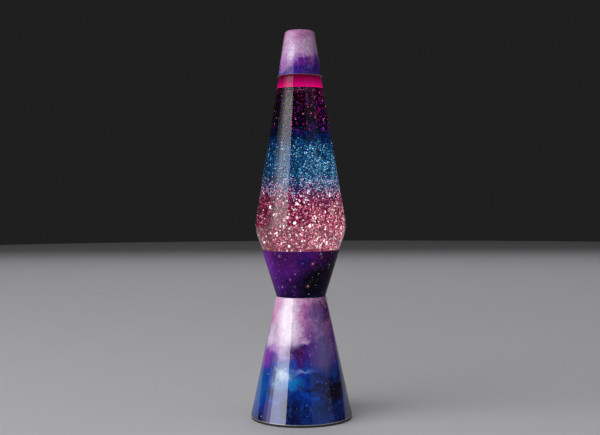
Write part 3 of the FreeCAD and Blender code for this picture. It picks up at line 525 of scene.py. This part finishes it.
def boreProfile(low, high):  # the inside of the glass over the liquid
    mesh = nodes["glass_globe"].data
    found = {}
    for face in mesh.polygons:
        middle = Vector((face.center.x, face.center.y, 0))
        inward = face.normal.dot(middle) < bore["facing"] * middle.length
        if face.center.z > bore["above"] and middle.length > bore["outside"] and inward:
            for index in face.vertices:
                co = mesh.vertices[index].co
                found[round(co.z, 5)] = math.hypot(co.x, co.y)
    rowHeights = sorted(found)
    rowRadii = [found[h] for h in rowHeights]
    return [(float(np.interp(h, rowHeights, rowRadii)), float(h)) for h in np.linspace(low, high, bore["rows"])]


wallHeights, wallRadii = wallProfile("lamp_liquid")


def wallRadius(height):  # the radius of the liquid, which fills the glass
    return float(np.interp(height, wallHeights, wallRadii))


filling = {  # the core takes a share of the radius; the flakes fill the rest
    "share": 0.84, "low": 0.1575, "high": 0.3388, "rows": 44, "overlap": 0.0001,
    "tint": (0.97, 0.96, 0.98), "paleTint": (0.99, 0.985, 0.99),
}


def liquidBody():  # the CAD liquid, let a tenth of a millimetre into the glass
    deselect()
    source = nodes["lamp_liquid"]
    piece = source.copy()
    piece.data = source.data.copy()
    piece.name = "liquidBody"
    bpy.context.collection.objects.link(piece)
    piece.parent = None
    piece.select_set(True)
    bpy.context.view_layer.objects.active = piece
    bpy.ops.object.mode_set(mode="EDIT")
    bpy.ops.mesh.select_all(action="SELECT")
    bpy.ops.mesh.remove_doubles(threshold=turning["copyWeld"])
    bpy.ops.transform.shrink_fatten(value=filling["overlap"])
    bpy.ops.object.mode_set(mode="OBJECT")
    bpy.ops.object.shade_smooth_by_angle(angle=turning["smooth"])
    return piece


def clearLiquid():
    f = Finish("clear liquid")
    drift = f.noise(f.place(), 0.03, 3)
    return f.surface({
        "Base Color": f.mix(drift, filling["tint"], filling["paleTint"]), "Roughness": 0.0, "IOR": 1.36,
        "Transmission Weight": 1.0,
    })


depths = {  # heights in mm; each ramp runs from low over the span
    "low": 150, "span": 200, "drift": 16, "shadeLeft": (-30, -4), "shadeBy": 0.6, "shadeTint": (0.3, 0.2, 0.25),
    # glow: painted light from the bulb below, darkening to painted shade at the top; sparkle: painted glints of the
    # deeper glitter
    "glow": [
        (0.0, (0.2, 0.03, 0.07)), (0.16, (0.2, 0.025, 0.07)), (0.3, (0.1, 0.008, 0.045)),
        (0.4, (0.05, 0.006, 0.05)), (0.46, (0.01, 0.02, 0.07)), (0.55, (0.002, 0.028, 0.085)),
        (0.66, (0.001, 0.012, 0.05)), (0.74, (0.001, 0.001, 0.008)), (0.84, (0.004, 0.0, 0.003)),
        (1.0, (0.006, 0.0, 0.004)),
    ],
    "sparkle": [
        (0.0, (0.9, 0.4, 0.42)), (0.2, (0.85, 0.3, 0.38)), (0.36, (0.6, 0.12, 0.28)), (0.44, (0.35, 0.22, 0.5)),
        (0.5, (0.1, 0.3, 0.55)), (0.62, (0.02, 0.22, 0.5)), (0.7, (0.005, 0.02, 0.16)), (0.78, (0.16, 0.0, 0.1)),
        (1.0, (0.3, 0.0, 0.12)),
    ],
    "crowd": [(0.0, 0.6), (0.5, 0.5), (0.66, 0.42), (0.74, 0.1), (1.0, 0.14)],
    "cells": 0.75, "cellEdge": (0.55, 0.35),
}


def glitterDepthsAndPaintedLight():  # what is seen between the flakes: the deeper glitter, with painted light from the bulb below and painted shade above, all as glow
    f = Finish("glitter depths and painted light")
    at = f.place()
    x, y, z = f.parts(at)
    level = z + (f.noise(at, 0.07, 5, 0.6) - 0.5) * depths["drift"]
    share = (level - depths["low"]) / depths["span"]
    crowd = f.ramp(share, [(stop, (grey,) * 3) for stop, grey in depths["crowd"]])
    pick, tone, _ = f.parts(f.cells(at, depths["cells"], "Color"))
    near = f.cells(at, depths["cells"])
    lit = f.fade(crowd - pick, 0.0, 0.12) * f.fade(near, *depths["cellEdge"]) * (0.15 + tone * 0.85)
    colour = f.mix(lit, f.ramp(share, depths["glow"]), f.ramp(share, depths["sparkle"]))
    # painted shade: the glow is darkened on the left side
    leftShade = depths["shadeBy"] - f.fade(x, *depths["shadeLeft"]) * depths["shadeBy"]
    colour = f.mix(leftShade, colour, f.vector("MULTIPLY", colour, depths["shadeTint"]))
    return f.glowing(colour, 1.0, {"Roughness": 0.5, "Specular IOR Level": 0.0})


liquid = liquidBody()
dress(liquid, clearLiquid())
heights = np.linspace(filling["low"], filling["high"], filling["rows"])
outline = [(wallRadius(h) * filling["share"], float(h)) for h in heights]
# the core is an opaque glowing sheet: deeper glitter with painted light and painted shade on it
core = lathe("glitterDepthsAndPaintedLight", [(0, filling["low"])] + outline + [(0, filling["high"])])
dress(core, glitterDepthsAndPaintedLight())
for piece in (liquid, core):
    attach(piece, "globe")
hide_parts("lamp_liquid")

shoulder = {
    "low": 0.3403, "high": 0.3535, "overlap": 0.0001, "fadeLow": 340, "fadeSpan": 14,  # metres, then the fade in mm
    "glow": [(0.0, (0.82, 0.006, 0.17)), (0.1, (0.62, 0.001, 0.15)), (0.4, (0.34, 0.0, 0.1)),
             (0.75, (0.14, 0.0, 0.035)), (1.0, (0.05, 0.0, 0.012))],
}


def shoulderGlow():  # the lit pink over the liquid, under the cap: painted light on a glowing shell, fading to painted shade towards the cap
    f = Finish("pink glow")
    at = f.place()
    level = (f.parts(at)[2] - shoulder["fadeLow"]) / shoulder["fadeSpan"]
    colour = f.ramp(level + (f.noise(at, 0.09, 3) - 0.5) * 0.2, shoulder["glow"])
    return f.glowing(colour, 1.0, {"Roughness": 0.4, "Specular IOR Level": 0.0})


outline = [(radius + shoulder["overlap"], h) for radius, h in boreProfile(shoulder["low"], shoulder["high"])]
glow = lathe("shoulderGlow", [(0, shoulder["low"])] + outline + [(0, shoulder["high"])])
dress(glow, shoulderGlow())
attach(glow, "globe")
print("filling made")


flakeShape = {"radius": 0.0008, "thickness": 0.00007, "narrow": 0.86, "sizes": (0.7, 1.15)}
drifting = {  # how the flakes spread through the liquid, in metres
    "blur": 0.0028, "topGap": 0.001, "wallGap": 0.001, "coreGap": 0.0018, "towardWall": 1.3, "widest": 0.044,
    "clumps": ((90, 0.6), (260, 0.5)), "clumping": (-0.55, 0.25), "leanFrom": 0.6, "leanOver": 0.9,
}
flakeGroups = {  # how many, low and high in mm, size, tilt, colour, glow (painted glint), lean to the right (fewer on the left: painted shade there)
    "flakesRose": (2500, 158, 235, 1.15, 0.5, (0.68, 0.075, 0.175), 0.95, 0.15),
    "flakesBlush": (1700, 156, 225, 1.15, 0.5, (1.0, 0.4, 0.45), 0.95, 0.45),
    "flakesCrimson": (2600, 160, 241, 1.2, 0.5, (0.22, 0.003, 0.05), 0.9, 0),
    "flakesSilver": (760, 157, 232, 1.15, 0.4, (1.0, 0.86, 0.84), 1.6, 0.45),
    "flakesBright": (34, 172, 231, 2.0, 0.2, (1.0, 0.88, 0.86), 2.4, 0.4),
    "flakesFrost": (480, 232, 282, 0.85, 0.4, (0.6, 0.9, 1.0), 1.2, 0.4),
    "flakesAzure": (2100, 237, 286, 0.95, 0.5, (0.004, 0.14, 0.44), 0.85, 0.2),
    "flakesSky": (1150, 233, 283, 0.9, 0.5, (0.1, 0.5, 0.72), 0.9, 0.45),
    "flakesLilac": (820, 228, 247, 0.95, 0.5, (0.62, 0.5, 0.78), 1.1, 0.15),
    "flakesCobalt": (280, 276, 304, 0.85, 0.4, (0.004, 0.035, 0.55), 0.75, 0.4),
    "flakesMagenta": (380, 296, 339, 0.8, 0.4, (0.55, 0.006, 0.24), 0.85, 0.5),
    "flakesViolet": (170, 286, 332, 0.8, 0.4, (0.13, 0.01, 0.55), 0.75, 0.5),
    "flakesPetal": (46, 300, 339, 0.85, 0.3, (1.0, 0.35, 0.5), 0.9, 0.5),
}


# the flakes glow: painted glints standing in for light off the glitter; their tone still varies at random
def flakeFinish(name, tone, strength):
    f = Finish(name)
    drift = f.noise(f.place(), 0.12, 3)
    colour = f.mix(f.fade(drift, 0.3, 0.7), tuple(c * 0.55 for c in tone), tone)
    return f.glowing(colour, strength, {"Metallic": 0.7, "Roughness": 0.22})


def flakeTemplate():  # a thin hexagon, a little narrower one way
    deselect()
    bpy.ops.mesh.primitive_cylinder_add(vertices=6, radius=flakeShape["radius"], depth=flakeShape["thickness"])
    piece = bpy.context.object
    bpy.ops.object.mode_set(mode="EDIT")
    bpy.ops.mesh.select_all(action="SELECT")
    bpy.ops.transform.resize(value=(1.0, flakeShape["narrow"], 1.0))
    bpy.ops.object.mode_set(mode="OBJECT")
    corners = np.array([v.co for v in piece.data.vertices])
    faces = [list(p.vertices) for p in piece.data.polygons]
    bpy.data.objects.remove(piece, do_unlink=True)
    return corners, faces


def scatterFlakes(name, count, low, high, size, tilt, tone, strength, lean, template):
    corners, faces = template
    draw = random.Random(name)
    points, polygons = [], []
    while len(points) < count:
        h = draw.uniform(low, high) * mm + draw.gauss(0, drifting["blur"])
        angle = draw.uniform(0, 2 * math.pi)
        across, depth = math.cos(angle), math.sin(angle)
        if not filling["low"] < h < filling["high"] - drifting["topGap"]:
            continue
        wall = wallRadius(h)
        scarce = lean * (drifting["leanFrom"] - across) / drifting["leanOver"]  # fewer on the left, which paints shade on the left side
        if draw.random() > wall / drifting["widest"] or draw.random() < scarce:
            continue
        room = wall * (1 - filling["share"]) - drifting["coreGap"]
        radius = wall - drifting["wallGap"] - room * draw.random() ** drifting["towardWall"]
        spot = Vector((radius * across, radius * depth, h))
        crowd = sum(noise.noise(spot * pitch) * gain for pitch, gain in drifting["clumps"])
        if crowd < draw.uniform(*drifting["clumping"]):
            continue
        facing = Vector((across, depth, 0)) + Vector([draw.gauss(0, tilt) for _ in range(3)])
        spun = Matrix.Rotation(draw.uniform(0, math.pi), 4, "Z")
        turn = facing.to_track_quat("Z", "Y").to_matrix().to_4x4() @ spun
        scale = size * draw.uniform(*flakeShape["sizes"])
        matrix = np.array(Matrix.Translation(spot) @ turn @ Matrix.Scale(scale, 4))
        offset = len(points) * len(corners)
        points.append(corners @ matrix[:3, :3].T + matrix[:3, 3])
        polygons += [[offset + index for index in face] for face in faces]
    mesh = bpy.data.meshes.new(name)
    mesh.from_pydata(np.concatenate(points).tolist(), [], polygons)
    piece = bpy.data.objects.new(name, mesh)
    bpy.context.collection.objects.link(piece)
    dress(piece, flakeFinish(name, tone, strength))
    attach(piece, "globe")
    return piece


template = flakeTemplate()
flakes = [scatterFlakes(name, *look, template) for name, look in flakeGroups.items()]
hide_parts("glitter_flakes")
print("flakes scattered:", sum(look[0] for look in flakeGroups.values()))


studio = {
    "floor": (0.5, 0.5, 0.515), "floorRadius": 4, "air": (0.3, 0.3, 0.31), "airStrength": 0.045, "softAim": 0.2,
    "lights": [  # name, bearing from and to, distance, low and high, radiance, colour, seen in gloss
        ("keyPanel", -36, -76, 2.6, 0.02, 2.8, 1.5, (1.0, 0.97, 0.98), True),
        ("keyEdge", -76, -87, 2.6, 0.02, 2.8, 0.6, (1.0, 0.97, 0.98), True),
        ("keyFade", -87, -99, 2.6, 0.02, 2.8, 0.22, (1.0, 0.98, 0.98), True),
        ("fillPanel", 24, 78, 2.6, 0.02, 2.4, 0.06, (0.9, 0.94, 1.0), True),
        ("frontSoft", -85, 5, 2.4, 0.45, 2.3, 3.7, (1.0, 1.0, 1.0), False),
        ("sideSoft", 20, 110, 2.2, 0.5, 2.4, 0.75, (1.0, 1.0, 1.0), False),
        ("backSoft", 140, 220, 2.2, 0.6, 2.6, 1.0, (0.97, 0.97, 1.0), False),
    ],
}
deselect()
bpy.ops.mesh.primitive_circle_add(vertices=128, radius=studio["floorRadius"], fill_type="NGON")
floor = bpy.context.object
floor.name = "studioFloor"
f = Finish("pale floor")
mottle = f.noise(f.add("ShaderNodeTexCoord", out="Object"), 30.0, 5)
dress(floor, f.surface({
    "Base Color": f.mix(mottle, tuple(c * 0.97 for c in studio["floor"]), studio["floor"]),
    "Roughness": 0.55 + (mottle - 0.5) * 0.1, "Normal": f.bump(mottle, 0.0002, 0.15),
}))

world = bpy.data.worlds.new("studio air")
world.use_nodes = True
background = world.node_tree.nodes["Background"]
background.inputs["Color"].default_value = (*studio["air"], 1)
background.inputs["Strength"].default_value = studio["airStrength"]
bpy.context.scene.world = world
for name, start, end, distance, low, high, radiance, colour, inGloss in studio["lights"]:
    bearing = math.radians((start + end) / 2)
    half = math.radians(abs(end - start) / 2)
    height = (low + high) / 2
    lamp = bpy.data.lights.new(name, "AREA")
    lamp.shape = "RECTANGLE"
    lamp.size, lamp.size_y, lamp.color = 2 * distance * math.tan(half), high - low, colour
    lamp.energy = radiance * lamp.size * lamp.size_y * math.pi
    holder = bpy.data.objects.new(name, lamp)
    bpy.context.collection.objects.link(holder)
    holder.location = (distance * math.sin(bearing), -distance * math.cos(bearing), height)
    target = height if inGloss else studio["softAim"]  # the soft ones look down at the lamp
    toward = Vector((0, 0, target)) - holder.location
    holder.rotation_euler = toward.to_track_quat("-Z", "Y").to_euler()
    holder.visible_glossy = holder.visible_transmission = inGloss

view = {"distance": 1.036, "height": 0.2306, "lens": 60.0, "dip": 1.29, "roll": -0.31, "across": -0.0006}
camera = bpy.data.objects.new("camera", bpy.data.cameras.new("camera"))
bpy.context.collection.objects.link(camera)
camera.data.lens = view["lens"]
camera.data.sensor_width = 36.0
camera.location = (view["across"], -view["distance"], view["height"])
aim = Matrix.Rotation(math.radians(90 - view["dip"]), 4, "X") @ Matrix.Rotation(math.radians(view["roll"]), 4, "Z")
camera.rotation_euler = aim.to_euler()
bpy.context.scene.camera = camera
bpy.context.scene.view_settings.view_transform = "Standard"
print("studio set")
